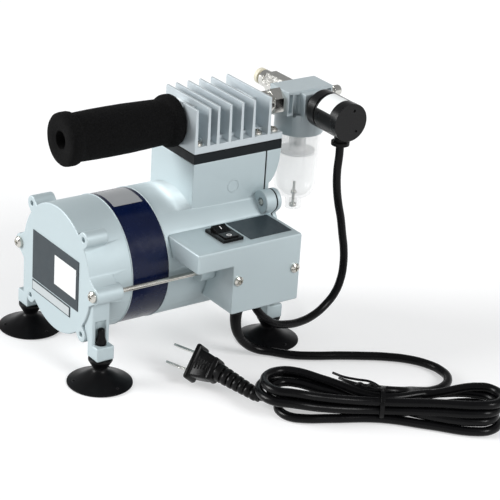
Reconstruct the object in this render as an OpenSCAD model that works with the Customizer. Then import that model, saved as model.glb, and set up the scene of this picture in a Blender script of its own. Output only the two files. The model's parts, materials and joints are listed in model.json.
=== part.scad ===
// Portable oil-free piston pump: motor, crankcase and finned head on suction feet,
// with a foam handle, a drain bowl, a pressure switch, a switch box and a mains cord.
// X runs along the motor shaft, from the end bell to the crank end. Z is up.

/* [Motor] */
// Outer diameter of the motor barrel
motor_d = 89; // [80:1:107]
// Length of the end bell
bell_len = 32.5; // [27:0.5:39]
// Width of the stator between the two castings
band_len = 28; // [23:0.5:34]
// Wall of the castings
wall = 3.5; // [2.8:0.1:4.2]
// Height of the shaft axis above the floor
axis_h = 65; // [60:1:78]
// Diameter of the motor shaft
shaft_d = 10; // [8:0.5:11]
// Outer diameter of the shaft bearings
bearing_od = 30; // [25:1:36]
// Width of the shaft bearings
bearing_w = 9; // [7:0.5:10]
// Diameter of the tie rods
tie_d = 3.4; // [2.8:0.1:4]

/* [Crankcase and cylinder] */
// Length of the crankcase, from the stator to the cover seam
case_len = 87; // [82:1:104]
// Length of the square cylinder block
block_len = 59; // [52:1:62]
// Width of the block, the valve plate and the head
block_w = 52.6; // [50:0.2:63]
// Height of the block's top above the shaft axis
block_top = 67.5; // [64:0.5:81]
// Bore of the cylinder
bore_d = 40; // [33:0.5:42]
// Stroke of the piston
stroke = 12; // [10:0.5:14]
// Thickness of the front cover
cover_t = 3.5; // [2.8:0.1:4.2]

/* [Head] */
// Thickness of the valve plate
plate_t = 6.6; // [5.5:0.1:8]
// Overhang of the head past the cover seam
head_over = 12.5; // [10:0.5:15]
// Thickness of the head's base flange
flange_t = 4.8; // [4:0.1:6]
// Height of the fins above the flange
fin_h = 26.5; // [24:0.5:32]
// Thickness of a fin at its tip
fin_t = 1.8; // [1.4:0.1:2.2]

/* [Handle] */
// Diameter of the foam grip
grip_d = 33; // [28:0.5:34]
// Diameter of the grip's end rings
grip_ring_d = 36; // [35:0.5:40]
// Length of the grip
grip_len = 87.6; // [73:0.1:88]
// Bore of the grip
grip_bore_d = 11; // [9:0.5:13]

/* [Filter and switch] */
// Length of the filter block along the shaft direction
filter_len = 38; // [36:1:46]
// Width of the filter block
filter_w = 22; // [18:1:26]
// Height of the filter block
filter_h = 17.7; // [17.2:0.1:21]
// Diameter of the clear bowl
bowl_d = 33; // [28:0.5:36]
// Length of the bowl below its collar
bowl_len = 59; // [50:1:64]
// Diameter of the pressure switch
press_d = 26.6; // [22:0.2:30]
// Length of the pressure switch
press_len = 46.5; // [39:0.5:54]
// Outer diameter of the hose that the coupler takes
hose_d = 6; // [4:0.5:7]
// Distance that the coupler's ring is pushed in
sleeve_travel = 2; // [1:0.1:2.2]
// Distance that the drain pin is pushed up
drain_travel = 2.5; // [1.5:0.1:3]

/* [Switch box] */
// Length of the box's top
box_len = 82.6; // [76:0.2:84]
// Length of the box's deep part
box_deep_len = 54.4; // [50:0.2:58]
// Distance of the box's front from the shaft axis
box_reach = 74.7; // [72:0.1:88]
// Height of the box's top above the shaft axis
box_top = 26; // [24:0.5:30]
// Depth of the box's bottom below the shaft axis
box_drop = 23; // [20:0.5:23]
// Wall of the box
box_wall = 1.8; // [1.5:0.1:2.2]

/* [Feet] */
// Diameter of a suction cup
cup_d = 44; // [37:0.5:50]
// Distance of the feet from the middle plane
foot_y = 47; // [47:0.5:52]

/* [Fits] */
// Radial clearance of a running fit
run_gap = 0.05; // [0.03:0.01:0.09]
// Radial clearance of a screw in its tapped hole
seat_gap = 0.05; // [0.02:0.01:0.1]
// Air gap between the rotor and the stator
air_gap = 0.5; // [0.3:0.1:0.8]

/* [Hidden] */
$fn = 64;
e = 0.01;
motor_r = motor_d / 2;
case_x0 = bell_len + band_len;
seam_x = case_x0 + case_len;
block_x0 = seam_x - block_len;
cyl_x = seam_x - block_len / 2;
half_w = block_w / 2;
gasket_t = 0.6;
cover_x = seam_x + gasket_t;
head_x1 = seam_x + head_over;
plate_z = block_top + plate_t;
head_z = plate_z + gasket_t;
flange_z = head_z + flange_t;
fin_z = flange_z + fin_h;
port_z = flange_z + 11.4;

// Motor
tie_r = motor_r + 4.5;
ear_r = 6;
ear_len = 19.6;
lug_r = motor_r + 3.5;
lug_boss_r = 5.4;
lug_len = 16;
lug_hole_r = 1.7;
tie_head_h = 3;
tie_lug_x0 = block_x0 - 8.5;
shaft_r = shaft_d / 2;
bearing_r = bearing_od / 2;
race_t = 3;
rear_bearing_x = 4.2;
front_wall_x = block_x0 - 10.5;
front_bearing_x = front_wall_x + 4;
rotor_r = 24;
stator_in_r = rotor_r + air_gap;
stator_out_r = motor_r - 0.6;
film_t = 0.5;
slot_count = 12;
slot_out_r = 36;

// Crank
chamber_r = motor_r - 6.5;
chamber_x0 = front_wall_x + 14;
crank_r = stroke / 2;
disc_x0 = front_bearing_x + bearing_w + 3.5;
disc_t = 8;
disc_r = 19;
pin_r = 6;
open_gap = 0.3;
rod_w = 9;
rod_bearing_r = 13;
rod_ring_r = 17;
liner_t = 1.5;
liner_z0 = block_top - 33.5;
bore_r = bore_d / 2;
reed_t = 0.3;
piston_top = block_top - reed_t - 0.7 - stroke;
retainer_t = 2.5;
seal_t = 1.5;
crown_t = 4;

// Cover and its screws
cover_lug_r = motor_r + 4.5;
cover_lug_x0 = seam_x - 8.4;
cover_lug_pit_r = 2.9;
top_lug_boss_r = 8;
low_lug_boss_r = 6;
corbel_h = 25.5;
screw_r = 2;
screw_clear_r = 2.25;
pan_r = 3.3;
pan_h = 2.6;
head_screw_x = [block_x0 + 5, seam_x - 5.5, head_x1 - 5];
head_screw_y = half_w - 4.6;

// Fins
fin_root_t = fin_t + 0.8;
fin_pitch = (block_len - 20.6) / 4;
fin_x = concat([0, 9.8], [for (i = [0 : 3]) 17.2 + fin_pitch * i], [block_len]);
boss_half = 10;

// Handle
handle_x1 = block_x0 - 0.5;
grip_x0 = handle_x1 - grip_len;
ring_len = 9;
stud_r = 3;
rod_x0 = grip_x0 + 12;

// Filter
nipple_len = 22.5;
boss_x1 = seam_x + 4.5;
filter_x0 = boss_x1 + nipple_len;
filter_x1 = filter_x0 + filter_len;
filter_x = (filter_x0 + filter_x1) / 2;
filter_z0 = port_z - 8.4;
filter_z1 = filter_z0 + filter_h;
filter_half = filter_w / 2;
collar_h = 15.5;
bowl_r = bowl_d / 2;
collar_r = bowl_r + 1;
collar_z0 = filter_z0 - collar_h;
bowl_z0 = collar_z0 - bowl_len;
bowl_wall = 2;
neck_r = bowl_r - 1.4;
neck_h = 6;
thread_r = 6.5;
coupler_len = 38;
coupler_r = 6.3;
hose_r = hose_d / 2;
sleeve_r = hose_r + 1.3;
sleeve_ring = 3.5;
side_plug_len = 14.5;
press_r = press_d / 2;
press_pad_h = 6.5;
press_pad_half = 9.1;
press_neck_len = 7;
press_neck_r = 7.8;
press_base_len = 7.5;
press_cap_len = 5.5;
press_y0 = -filter_half - press_len;
press_pad_y = -filter_half - press_pad_h;
press_back = press_pad_y - press_neck_len;
press_groove = press_back - press_base_len;
grommet_y = press_y0 + 9.5;
grommet_z = port_z - press_r - 5.5;

// Switch box
box_x1 = seam_x - 1.7;
box_x0 = box_x1 - box_len;
deep_x0 = box_x1 - box_deep_len;
shelf_z = box_top - 14;
box_screw_h = 2.3;
box_screw_r = 3.4;
post_r = 2.4;
post_z = 1.4;
post_x = [deep_x0 + box_wall + post_r, box_x1 - 4.2];
barrel_gap = 0.05;
rocker_x = deep_x0 + 5;
rocker_y = -box_reach + 20.2;
bezel_w = 16;
bezel_len = 22;
bezel_h = 2;
pocket_w = 11.2;
pocket_len = 18.8;
pivot_z = box_top + 0.6;
pivot_r = 1.2;
rocker_tilt = 7;
mains_x = 104;
mains_y = -63;
sensor_x = 124;
sensor_y = -57;
gland_r = 5;
gland_drop = 3;

// Feet
foot_x = [8, seam_x - 4];
pad_len = 13;
pad_w = 13;
pad_h = 9.7;
pad_z0 = -axis_h + 18.5;
stem_r = 3;
cup_r = cup_d / 2;

// Cords and the plug, placed from the middle of the footprint, at floor level
mains_r = 3.1;
sensor_r = 2.9;
mains_path = [
    [-2.5, -59, 39], [-2.5, -59, 30], [-0.5, -59, 21], [5.5, -59, 12], [14.5, -61, 5.5],
    [24.5, -67, 3.2], [33.5, -77, 3.2], [47.5, -86, 3.2], [61.5, -93, 3.2], [75.5, -101, 3.2],
    [89.5, -110, 3.2], [101.5, -121, 3.2], [108.5, -133, 3.2], [110.5, -144, 3.2], [107.5, -155, 3.2],
    [96.5, -163, 3.2], [84.5, -165, 4.5], [72.5, -166, 8], [62.5, -168, 11], [53.5, -171, 14]
];
sensor_path = [
    [87, -44, 137.1], [87, -44, 129], [86, -44.5, 118], [86.5, -45, 106], [88.5, -45.5, 94],
    [91.5, -46, 82], [94, -46, 70], [96.5, -46, 58], [97, -46.5, 46], [95.5, -47, 36],
    [91, -47.5, 26], [82.9, -48, 18.2], [71.4, -50, 13.5], [57.5, -52.5, 12.4], [44.9, -54.6, 14.4],
    [33.9, -55.6, 17.8], [26, -55.6, 23.1], [20.5, -54.6, 28.5], [17.5, -53, 34], [17.5, -53, 39]
];
plug_turn = -70;
plug_lean = 40;
plug_at = [-43.5, -71.4];
plug_lift = 14.1;
plug_h = 25;
plug_t = 14;
plug_len = 20;
relief_len = 35.5;
relief_dip = 10.7;
blade_len = 18;
blade_gap = 12.7;
hank_at = [36.5, -172];
hank_turn = -37;
hank_h = 25;

// The origin is the middle of the footprint of all that isn't a cord, at floor level
mid_x = (foot_x[0] - cup_r + filter_x1 + side_plug_len) / 2;
mid_y = (-box_reach - box_screw_h + foot_y + cup_r) / 2;

// ---- helpers ----

// From the shaft axis frame to the part's own frame
module home() {
    translate([-mid_x, -mid_y, axis_h]) children();
}

// Round bar along X
module bar_x(r, x0, x1) {
    translate([x0, 0, 0]) rotate([0, 90, 0]) cylinder(r = r, h = x1 - x0);
}

// Round bar along Y
module bar_y(r, y0, y1) {
    translate([0, y0, 0]) rotate([-90, 0, 0]) cylinder(r = r, h = y1 - y0);
}

// A flat outline in Y and Z, drawn out along X
module plate_x(x0, x1) {
    translate([x0, 0, 0]) rotate([90, 0, 90]) linear_extrude(x1 - x0) children();
}

// A flat outline in X and Z, drawn out along Y
module plate_y(y0, y1) {
    translate([0, y1, 0]) rotate([90, 0, 0]) linear_extrude(y1 - y0) children();
}

// Block between two corners
module block(a, b) {
    translate(a) cube(b - a);
}

// Tube along X
module tube_x(r_out, r_in, x0, x1) {
    difference() {
        bar_x(r_out, x0, x1);
        bar_x(r_in, x0 - 1, x1 + 1);
    }
}

// Hexagon bar along X, by its width across flats
module hex_x(af, x0, x1) {
    translate([x0, 0, 0]) rotate([0, 90, 0]) cylinder(r = af / sqrt(3), h = x1 - x0, $fn = 6);
}

// Hexagon bar along Y
module hex_y(af, y0, y1) {
    translate([0, y0, 0]) rotate([-90, 0, 0]) cylinder(r = af / sqrt(3), h = y1 - y0, $fn = 6);
}

// Pan-head screw pointing down, with a cross recess, seated at z = 0
module pan_screw(shank_r, shank_len, head_r, head_h) {
    difference() {
        union() {
            cylinder(r = head_r, h = head_h * 0.55);
            translate([0, 0, head_h * 0.55]) cylinder(r1 = head_r, r2 = head_r * 0.62, h = head_h * 0.45);
        }
        for (a = [0, 90]) {
            rotate([0, 0, a]) translate([-head_r * 0.56, -0.5, head_h - 1.3])
                cube([head_r * 1.12, 1, 2]);
        }
    }
    translate([0, 0, -shank_len]) cylinder(r = shank_r, h = shank_len);
}

// Places at the four 45 degree corners, on a circle in Y and Z
module at_corners(r) {
    for (a = [45 : 90 : 315]) {
        rotate([a, 0, 0]) translate([0, r, 0]) children();
    }
}

// Places over the head's six screws
module at_head_screws(z) {
    for (x = head_screw_x) {
        for (s = [-1, 1]) {
            translate([x, s * head_screw_y, z]) children();
        }
    }
}

// ---- motor ----

// Outline of one end bell leg, in Y and Z
module bell_leg() {
    polygon([
        [motor_r - 6, -6], [tie_r - 2.5, -6], [tie_r - 2.5, pad_z0 + pad_h],
        [foot_y - pad_w / 2, pad_z0 + pad_h], [motor_r - 9, pad_z0 + pad_h + 11]
    ]);
}

// Foot pad with its stem hole, and the slot above it for the foot's tail
module pad_cut(x) {
    translate([x, 0, 0]) {
        translate([0, foot_y, pad_z0 - 1]) cylinder(r = stem_r + 0.1, h = pad_h + 2);
        translate([0, foot_y, pad_z0 + pad_h]) cylinder(r = stem_r + 1, h = 16);
        block([-stem_r - 1, foot_y, pad_z0 + pad_h], [stem_r + 1, foot_y + 12, pad_z0 + pad_h + 16]);
    }
}

module pad(x) {
    block(
        [x - pad_len / 2, foot_y - pad_w / 2, pad_z0],
        [x + pad_len / 2, foot_y + pad_w / 2, pad_z0 + pad_h]
    );
}

module end_bell() {
    color("gainsboro") home() difference() {
        union() {
            bar_x(motor_r, 0, bell_len);
            for (s = [0, 1]) mirror([0, s, 0]) {
                translate([0, tie_r, 0]) bar_x(ear_r, 0, ear_len);
                plate_x(0, ear_len - 2) polygon([
                    [motor_r - 8, -15], [tie_r, -ear_r], [tie_r, ear_r], [motor_r - 8, 15]
                ]);
                plate_x(foot_x[0] - pad_len / 2, foot_x[0] + pad_len / 2) bell_leg();
                pad(foot_x[0]);
            }
            at_corners(lug_r) bar_x(lug_boss_r, 0, lug_len);
            at_corners(lug_r - 6) block([0, 0, -lug_boss_r], [lug_len, 6, lug_boss_r]);
        }
        difference() {
            bar_x(motor_r - wall, rear_bearing_x, bell_len + 1);
            bar_x(bearing_r + wall, 0, rear_bearing_x + bearing_w);
        }
        bar_x(bearing_r, rear_bearing_x, rear_bearing_x + bearing_w + 1);
        for (s = [-1, 1]) {
            translate([0, s * tie_r, 0]) bar_x(tie_d / 2 + seat_gap, -1, ear_len + 1);
        }
        at_corners(lug_r) bar_x(lug_hole_r, -1, lug_len + 1);
        for (s = [0, 1]) mirror([0, s, 0]) pad_cut(foot_x[0]);
    }
}

module stator_slots(gap) {
    for (i = [0 : slot_count - 1]) {
        rotate(i * 360 / slot_count) translate([stator_in_r + 2, -4 + gap])
            square([slot_out_r - stator_in_r - 2 - gap, 8 - 2 * gap]);
    }
}

module stator_stack() {
    color("dimgray") home() plate_x(bell_len, case_x0) difference() {
        circle(r = stator_out_r);
        circle(r = stator_in_r);
        stator_slots(0);
        for (i = [0 : slot_count - 1]) {
            rotate(i * 360 / slot_count) translate([stator_in_r - 1, -1]) square([4, 2]);
        }
    }
}

module stator_band() {
    color("midnightblue") home() tube_x(stator_out_r + film_t, stator_out_r, bell_len, case_x0);
}

module stator_windings() {
    color("peru") home() {
        plate_x(bell_len - 0.6, case_x0 + 0.6) stator_slots(0.3);
        tube_x(slot_out_r + 1, stator_in_r + 2.5, bell_len - 9, bell_len - 0.3);
        tube_x(slot_out_r + 1, stator_in_r + 2.5, case_x0 + 0.3, case_x0 + 9);
    }
}

module rotor_core() {
    color("slategray") home() tube_x(rotor_r, shaft_r, bell_len + 0.5, case_x0 - 0.5);
}

module rotor_end_rings() {
    color("silver") home() for (x = [bell_len - 3, case_x0 - 0.5]) {
        tube_x(rotor_r - 1, shaft_r + 6, x, x + 3.5);
    }
}

module rotor_shaft() {
    color("lightsteelblue") home() bar_x(shaft_r, rear_bearing_x + 0.3, disc_x0 + disc_t);
}

module bearing_outer_rings() {
    color("silver") home() for (x = [rear_bearing_x, front_bearing_x]) {
        tube_x(bearing_r, bearing_r - race_t, x, x + bearing_w);
    }
}

module bearing_inner_rings() {
    color("silver") home() for (x = [rear_bearing_x, front_bearing_x]) {
        tube_x(shaft_r + race_t, shaft_r, x + 0.3, x + bearing_w - 0.3);
    }
}

module bearing_balls() {
    ball_r = (bearing_r - shaft_r - 2 * race_t) / 2 - run_gap;
    ball_ring = bearing_r - race_t - ball_r - run_gap / 2;
    color("white") home() for (x = [rear_bearing_x, front_bearing_x]) {
        for (i = [0 : 6]) {
            rotate([i * 360 / 7, 0, 0]) translate([x + bearing_w / 2, ball_ring, 0]) sphere(r = ball_r);
        }
    }
}

// ---- crank and piston ----

module crank_disc() {
    color("dimgray") home() difference() {
        union() {
            bar_x(disc_r, disc_x0, disc_x0 + disc_t);
            bar_x(shaft_r + 2.5, disc_x0 - 3.2, disc_x0);
            intersection() {
                bar_x(disc_r + 9, disc_x0, disc_x0 + disc_t);
                block([disc_x0, -disc_r, 2], [disc_x0 + disc_t, disc_r, disc_r + 10]);
            }
        }
        bar_x(shaft_r, disc_x0 - 4, disc_x0 + disc_t + 1);
    }
}

module crank_pin() {
    color("lightsteelblue") home() translate([0, 0, -crank_r])
        bar_x(pin_r, disc_x0 + disc_t + open_gap, cyl_x + rod_w / 2 + 2);
}

module rod_bearing() {
    color("silver") home() translate([0, 0, -crank_r])
        tube_x(rod_bearing_r, pin_r, cyl_x - rod_w / 2, cyl_x + rod_w / 2);
}

module piston_rod() {
    crown_z = piston_top - retainer_t - seal_t - crown_t;
    color("silver") home() {
        difference() {
            union() {
                translate([0, 0, -crank_r]) bar_x(rod_ring_r, cyl_x - rod_w / 2, cyl_x + rod_w / 2);
                block([cyl_x - rod_w / 2, -6, 0], [cyl_x + rod_w / 2, 6, crown_z + 1]);
                translate([cyl_x, 0, crown_z]) cylinder(r = bore_r - 0.6, h = crown_t);
            }
            translate([0, 0, -crank_r]) bar_x(rod_bearing_r, cyl_x - rod_w, cyl_x + rod_w);
            translate([cyl_x, 0, crown_z - 8]) cylinder(r = screw_r, h = crown_t + 9);
        }
    }
}

module piston_seal() {
    color("white") home() translate([cyl_x, 0, piston_top - retainer_t - seal_t]) difference() {
        cylinder(r = bore_r - run_gap, h = seal_t);
        translate([0, 0, -1]) cylinder(r = screw_r + 0.1, h = seal_t + 2);
    }
}

module seal_retainer() {
    color("silver") home() translate([cyl_x, 0, piston_top - retainer_t]) {
        cylinder(r = bore_r - 4, h = retainer_t);
        translate([0, 0, -seal_t - crown_t - 6])
            cylinder(r = screw_r - seat_gap, h = seal_t + crown_t + 6 + e);
    }
}

// ---- crankcase, cover and cylinder ----

// Bracket of a foot under the crankcase, outline in Y and Z
module case_leg() {
    low = -box_drop - 1.5;
    polygon([
        [motor_r - 17, low - 5], [motor_r - 6, low], [foot_y + 3, low],
        [foot_y + pad_w / 2, low - 5], [foot_y + pad_w / 2, pad_z0 + pad_h],
        [foot_y - pad_w / 2, pad_z0 + pad_h], [motor_r - 15, pad_z0 + pad_h - 3]
    ]);
}

// The four cover lugs: larger at the top, smaller at the bottom
module cover_lugs(x0, x1) {
    for (s = [0, 1]) mirror([0, s, 0]) {
        rotate([45, 0, 0]) {
            translate([0, cover_lug_r, 0]) bar_x(top_lug_boss_r, x0, x1);
            block([x0, cover_lug_r - 10, -top_lug_boss_r], [x1, cover_lug_r, top_lug_boss_r]);
        }
        rotate([-45, 0, 0]) {
            translate([0, cover_lug_r, 0]) bar_x(low_lug_boss_r, x0, x1);
            block([x0, cover_lug_r - 8, -low_lug_boss_r], [x1, cover_lug_r, low_lug_boss_r]);
        }
    }
}

module crankcase() {
    color("lightgray") home() difference() {
        union() {
            bar_x(motor_r, case_x0, seam_x);
            block([block_x0, -half_w, 0], [seam_x, half_w, block_top]);
            for (s = [0, 1]) mirror([0, s, 0]) {
                translate([0, tie_r, 0]) bar_x(ear_r, tie_lug_x0, deep_x0 - 0.2);
                block([tie_lug_x0, motor_r - 6, -ear_r], [deep_x0 - 0.2, tie_r, ear_r]);
                plate_x(foot_x[1] - pad_len / 2, seam_x) case_leg();
                pad(foot_x[1]);
            }
            cover_lugs(cover_lug_x0, seam_x);
            for (x = post_x) {
                translate([x, 0, post_z]) bar_y(post_r, -box_reach + box_wall, -motor_r + 2);
            }
        }
        bar_x(motor_r - wall, case_x0 - 1, front_wall_x);
        bar_x(shaft_r + 1.5, front_wall_x - 1, front_bearing_x + 1);
        bar_x(bearing_r, front_bearing_x, chamber_x0 + 1);
        bar_x(chamber_r, chamber_x0, seam_x + 1);
        translate([cyl_x, 0, 0]) cylinder(r = bore_r + 0.5, h = block_top + 1);
        translate([cyl_x, 0, liner_z0]) cylinder(r = bore_r + liner_t, h = block_top);
        for (s = [-1, 1]) {
            translate([0, s * tie_r, 0]) bar_x(tie_d / 2 + seat_gap, tie_lug_x0 - 1, deep_x0 + 1);
        }
        for (s = [0, 1]) mirror([0, s, 0]) pad_cut(foot_x[1]);
        at_corners(cover_lug_r) bar_x(screw_r, cover_lug_x0 - 1, seam_x + 1);
        at_corners(cover_lug_r) bar_x(cover_lug_pit_r, cover_lug_x0 - 1, cover_lug_x0 + 2.5);
        for (x = post_x) {
            translate([x, 0, post_z]) bar_y(1.5, -box_reach, -box_reach + 14);
        }
        at_head_screws(block_top - 16) cylinder(r = screw_r, h = 20);
    }
}

module cylinder_liner() {
    color("silver") home() translate([cyl_x, 0, liner_z0]) difference() {
        cylinder(r = bore_r + liner_t, h = block_top - liner_z0);
        translate([0, 0, -1]) cylinder(r = bore_r, h = block_top);
    }
}

// Face of the cover and its gasket: the barrel with the block's face above it
module cover_outline() {
    circle(r = motor_r);
    translate([-half_w, 0]) square([block_w, block_top]);
}

module cover_gasket() {
    color("black") home() difference() {
        union() {
            plate_x(seam_x, cover_x) cover_outline();
            cover_lugs(seam_x, cover_x);
        }
        bar_x(chamber_r, seam_x - 1, cover_x + 1);
        at_corners(cover_lug_r) bar_x(screw_clear_r, seam_x - 1, cover_x + 1);
    }
}

module front_cover() {
    color("lightgray") home() difference() {
        union() {
            plate_x(cover_x, cover_x + cover_t) cover_outline();
            cover_lugs(cover_x, cover_x + cover_t);
            // Corbel under the head's overhang, a quarter of an ellipse
            plate_y(-half_w, half_w) polygon(concat(
                [[cover_x, block_top]],
                [for (a = [0 : 7.5 : 90])
                    [cover_x + (head_x1 - cover_x) * cos(a), block_top - corbel_h * sin(a)]]
            ));
        }
        at_corners(cover_lug_r) bar_x(screw_clear_r, cover_x - 1, cover_x + cover_t + 1);
        for (s = [-1, 1]) {
            translate([head_screw_x[2], s * head_screw_y, block_top - 14]) cylinder(r = screw_r, h = 16);
        }
    }
}

module cover_screws() {
    color("silver") home() at_corners(cover_lug_r) translate([cover_x + cover_t, 0, 0])
        rotate([0, 90, 0]) pan_screw(screw_r - seat_gap, 12, pan_r, pan_h);
}

// ---- valve plate and head ----

module valve_plate() {
    color("darkslategray") home() difference() {
        block([block_x0, -half_w, block_top], [head_x1, half_w, plate_z]);
        at_head_screws(block_top - 1) cylinder(r = screw_clear_r, h = plate_t + 2);
        for (s = [-1, 1]) {
            for (y = [-8, 0, 8]) {
                translate([cyl_x + s * 9, y, block_top - 1]) cylinder(r = 2, h = plate_t + 2);
            }
        }
    }
}

module reed_valves() {
    color("silver") home() {
        block([cyl_x - 13, -13, block_top - reed_t], [cyl_x - 5, 13, block_top]);
        block([cyl_x + 5, -16, plate_z], [cyl_x + 13, 16, plate_z + reed_t]);
        block([cyl_x + 6, -14, plate_z + reed_t], [cyl_x + 12, 14, plate_z + reed_t + 1.2]);
    }
}

// Air chambers of the head, one on each side of its middle web
module chambers(z0, z1) {
    block([cyl_x - 21, -17.5, z0], [cyl_x - 2, 17.5, z1]);
    block([cyl_x + 2, -17.5, z0], [cyl_x + 21, 17.5, z1]);
}

module head_gasket() {
    color("black") home() difference() {
        block([block_x0 + 0.2, -half_w + 0.2, plate_z], [head_x1 - 0.2, half_w - 0.2, head_z]);
        at_head_screws(plate_z - 1) cylinder(r = screw_clear_r, h = 3);
        chambers(plate_z - 1, head_z + 1);
    }
}

// One fin: its outline in X and Z, thicker at the root
module fin(x, y1) {
    plate_y(-half_w, y1) polygon([
        [x, head_z + 1], [x + fin_root_t, head_z + 1], [x + fin_t, fin_z], [x, fin_z]
    ]);
}

module cylinder_head() {
    color("gainsboro") home() difference() {
        union() {
            block([block_x0, -half_w, head_z], [head_x1, half_w, flange_z]);
            block([block_x0 + 9, -19.5, flange_z - 1], [seam_x + 1, 19.5, flange_z + 3]);
            fin(block_x0, -boss_half);
            for (x = fin_x) if (x > 0) fin(block_x0 + x, half_w);
            block([block_x0, -boss_half, flange_z - 1], [block_x0 + 10.5, boss_half, fin_z - 4]);
            block([seam_x - 9, -boss_half, flange_z - 1], [boss_x1, boss_half, fin_z - 5]);
        }
        at_head_screws(head_z - 1) cylinder(r = screw_clear_r, h = flange_t + 4);
        at_head_screws(flange_z) cylinder(r = pan_r + 0.3, h = pan_h + 1.5);
        chambers(head_z - 1, flange_z + 0.5);
        translate([0, 0, port_z]) {
            bar_x(thread_r, seam_x - 6, boss_x1 + 1);
            bar_x(stud_r, block_x0 - 1, block_x0 + 10);
        }
        translate([seam_x - 6, 0, port_z]) bar_x(2.5, -4, 1);
        translate([seam_x - 9.5, 0, flange_z - 1]) cylinder(r = 2, h = port_z - flange_z + 1);
        translate([cyl_x - 12, 0, head_z + 2.4]) bar_y(2, 12, half_w + 1);
    }
}

module head_screws() {
    color("silver") home() at_head_screws(flange_z)
        pan_screw(screw_r - seat_gap, flange_z - block_top + 12, pan_r, pan_h);
}

module tie_rods() {
    color("silver") home() for (s = [-1, 1]) {
        translate([0, s * tie_r, 0]) {
            bar_x(tie_d / 2, -e, deep_x0 - 0.5);
            rotate([0, -90, 0]) pan_screw(tie_d / 2, 2, 4, tie_head_h);
        }
    }
}

// ---- handle ----

module handle_rod() {
    color("silver") home() translate([0, 0, port_z]) {
        bar_x(grip_bore_d / 2 - 0.1, rod_x0, block_x0);
        bar_x(stud_r - seat_gap, block_x0 - 1, block_x0 + 9);
    }
}

module handle_grip() {
    color("black") home() translate([0, 0, port_z]) difference() {
        union() {
            bar_x(grip_d / 2, grip_x0, handle_x1);
            for (x = [grip_x0, handle_x1 - ring_len]) {
                bar_x(grip_ring_d / 2, x, x + ring_len);
            }
        }
        bar_x(grip_bore_d / 2, grip_x0 - 1, handle_x1 + 1);
    }
}

// ---- switch box ----

module box_shape(inset) {
    front = -box_reach + inset;
    block([box_x0 + inset, front, shelf_z + inset], [box_x1 - inset, -30, box_top - inset]);
    block([deep_x0 + inset, front, -box_drop + inset], [box_x1 - inset, -30, box_top - inset]);
}

module switch_box() {
    color("lightgray") home() difference() {
        box_shape(0);
        box_shape(box_wall);
        bar_x(motor_r + barrel_gap, box_x0 - 1, box_x1 + 1);
        block([box_x0 - 1, -half_w - 4, -box_drop - 1], [box_x1 + 1, 0, box_top + 1]);
        for (x = post_x) {
            translate([x, 0, post_z]) bar_y(1.8, -box_reach - 1, -box_reach + box_wall + 1);
        }
        translate([rocker_x, rocker_y, 0]) block([-6.5, -9.9, box_top - 4], [6.5, 9.9, box_top + 1]);
        translate([mains_x, mains_y, -box_drop - 1]) cylinder(r = gland_r - 1, h = box_wall + 2);
        translate([sensor_x, sensor_y, -box_drop - 1]) cylinder(r = gland_r - 1, h = box_wall + 2);
        // Room for the tie rod lug, which passes beside the box
        translate([0, -tie_r, 0]) bar_x(ear_r + 0.2, tie_lug_x0 - 1, deep_x0 - 0.1);
    }
}

module box_screws() {
    color("silver") home() for (x = post_x) {
        translate([x, -box_reach, post_z]) rotate([90, 0, 0])
            pan_screw(1.5 - seat_gap, 11, box_screw_r, box_screw_h);
    }
}

module switch_housing() {
    color("black") home() translate([rocker_x, rocker_y, 0]) difference() {
        union() {
            block([-bezel_w / 2, -bezel_len / 2, box_top], [bezel_w / 2, bezel_len / 2, box_top + bezel_h]);
            block([-6.4, -9.8, box_top - 11.5], [6.4, 9.8, box_top]);
        }
        block(
            [-pocket_w / 2, -pocket_len / 2, box_top - 9],
            [pocket_w / 2, pocket_len / 2, box_top + bezel_h + 1]
        );
        translate([0, 0, pivot_z]) bar_x(pivot_r + run_gap, -7.2, 7.2);
    }
}

module switch_rocker() {
    half = pocket_len / 2 - 0.6;
    color("black") home() translate([rocker_x, rocker_y, pivot_z]) {
        rotate([rocker_tilt, 0, 0]) intersection() {
            plate_x(-pocket_w / 2 + 0.3, pocket_w / 2 - 0.3) polygon([
                [-half, -1.5], [-half, 3.4], [0, 1.8], [half, 3.4], [half, -1.5], [0, -5]
            ]);
            bar_x(half + 0.2, -10, 10);
        }
        bar_x(pivot_r, -6.2, 6.2);
    }
}

module capacitor() {
    color("whitesmoke") home() translate([0, -box_reach + 12.7, box_top - box_wall - 8.2])
        bar_x(8, rocker_x + 11.5, rocker_x + 41);
}

module control_plate() {
    color("dimgray") home() block(
        [rocker_x + 12.3, -box_reach + 7, box_top], [box_x1 - 3.8, -box_reach + 36, box_top + 0.4]
    );
}

module rating_plates() {
    color("dimgray") home() {
        block([-0.4, -30, -19], [0, 30.5, 16.5]);
        block([-0.4, -20, -27.5], [0, 30.5, -20]);
    }
}

module band_label() {
    color("lightgray") home() intersection() {
        tube_x(stator_out_r + film_t + 0.2, stator_out_r + film_t, bell_len + 3, case_x0 - 3);
        block([bell_len, -13, 30], [case_x0, 12, motor_r + 1]);
    }
}

module gland(x, y) {
    translate([x, y, -box_drop]) {
        translate([0, 0, -gland_drop]) cylinder(r = gland_r, h = gland_drop);
        translate([0, 0, -e]) cylinder(r = gland_r - 1.1, h = box_wall + 2 * e);
        translate([0, 0, box_wall]) cylinder(r = gland_r, h = 1.5);
    }
}

module cord_glands() {
    color("black") home() {
        gland(mains_x, mains_y);
        gland(sensor_x, sensor_y);
    }
}

// ---- outlet, filter and pressure switch ----

module outlet_nipple() {
    color("silver") home() translate([0, 0, port_z]) difference() {
        union() {
            hex_x(16, boss_x1, boss_x1 + 11);
            bar_x(8.2, boss_x1 + 11, boss_x1 + 13.5);
            hex_x(17, boss_x1 + 13.5, filter_x0);
            bar_x(thread_r - seat_gap, boss_x1 - 9, filter_x0 + 6);
        }
        bar_x(3, boss_x1 - 10, filter_x0 + 7);
    }
}

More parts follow.
